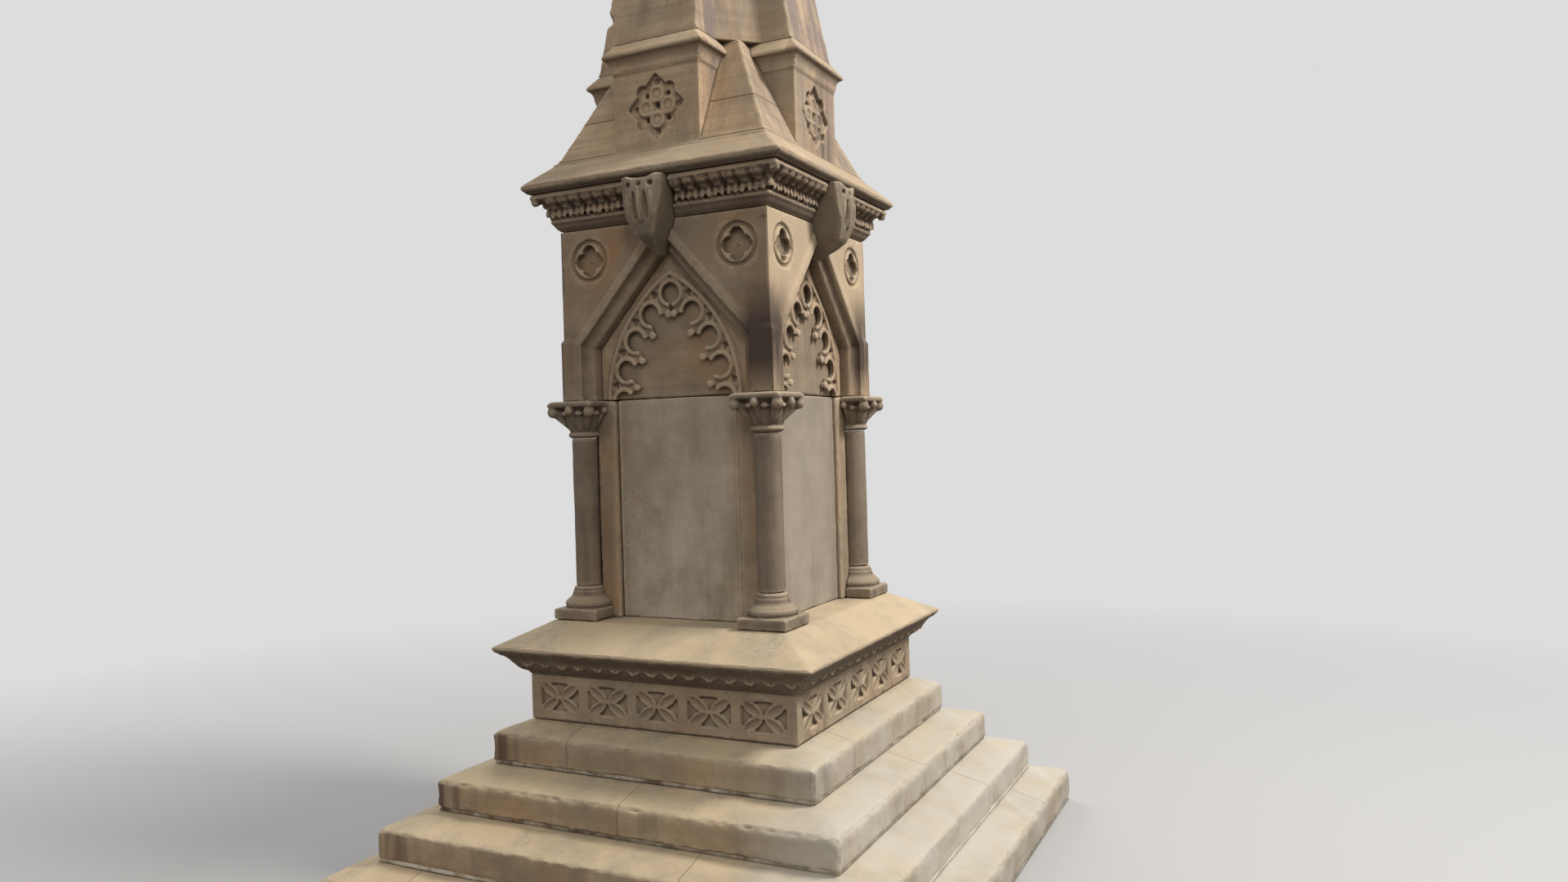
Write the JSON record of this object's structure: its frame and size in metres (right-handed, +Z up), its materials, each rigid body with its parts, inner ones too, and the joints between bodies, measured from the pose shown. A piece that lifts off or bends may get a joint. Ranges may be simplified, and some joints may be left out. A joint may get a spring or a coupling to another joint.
{
  "type": "gothic obelisk",
  "caption": "Stepped sandstone obelisk with corner columns, gabled tracery niches, shields, a moulded cornice and a tapering cross-plan spire",
  "frame": {"origin": "on the ground at the middle of the square plan, at the underside of the bottom step", "axes": "+Z up the axis of the obelisk, -Y out of the front face (the left face in the picture), +X out of the right face"},
  "size_m": [2.994, 2.994, 6.887],
  "materials": {
    "step_stone": "weathered, tooled and partly lichen-stained sandstone, fully matte",
    "pedestal_stone": "weathered, tooled and partly lichen-stained sandstone, fully matte",
    "wall_stone": "weathered, tooled and partly lichen-stained sandstone, fully matte",
    "tablet_stone": "weathered, tooled and partly lichen-stained sandstone, fully matte",
    "column_stone": "weathered, tooled and partly lichen-stained sandstone, fully matte",
    "tracery_stone": "weathered, tooled and partly lichen-stained sandstone, fully matte",
    "shield_stone": "weathered, tooled and partly lichen-stained sandstone, fully matte",
    "cornice_stone": "weathered, tooled and partly lichen-stained sandstone, fully matte",
    "spire_stone": "weathered, tooled and partly lichen-stained sandstone, fully matte"
  },
  "bodies": {
    "root": {"bottom_step": "step_stone", "third_step": "step_stone", "second_step": "step_stone", "top_step": "step_stone", "frieze": "pedestal_stone", "pedestal_cap": "pedestal_stone", "lower_die": "wall_stone", "front_tablet": "tablet_stone", "right_tablet": "tablet_stone", "back_tablet": "tablet_stone", "left_tablet": "tablet_stone", "front_right_base": "column_stone", "back_right_base": "column_stone", "back_left_base": "column_stone", "front_left_base": "column_stone", "front_right_shaft": "column_stone", "back_right_shaft": "column_stone", "back_left_shaft": "column_stone", "front_left_shaft": "column_stone", "front_right_capital": "column_stone", "back_right_capital": "column_stone", "back_left_capital": "column_stone", "front_left_capital": "column_stone", "upper_core": "wall_stone", "front_gable": "wall_stone", "right_gable": "wall_stone", "back_gable": "wall_stone", "left_gable": "wall_stone", "front_tracery": "tracery_stone", "right_tracery": "tracery_stone", "back_tracery": "tracery_stone", "left_tracery": "tracery_stone", "front_shield": "shield_stone", "right_shield": "shield_stone", "back_shield": "shield_stone", "left_shield": "shield_stone", "cornice": "cornice_stone", "roof": "cornice_stone", "front_arm": "spire_stone", "right_arm": "spire_stone", "back_arm": "spire_stone", "left_arm": "spire_stone", "spire_base": "spire_stone", "lower_spire": "spire_stone", "upper_spire": "spire_stone"}
  },
  "joints": []
}
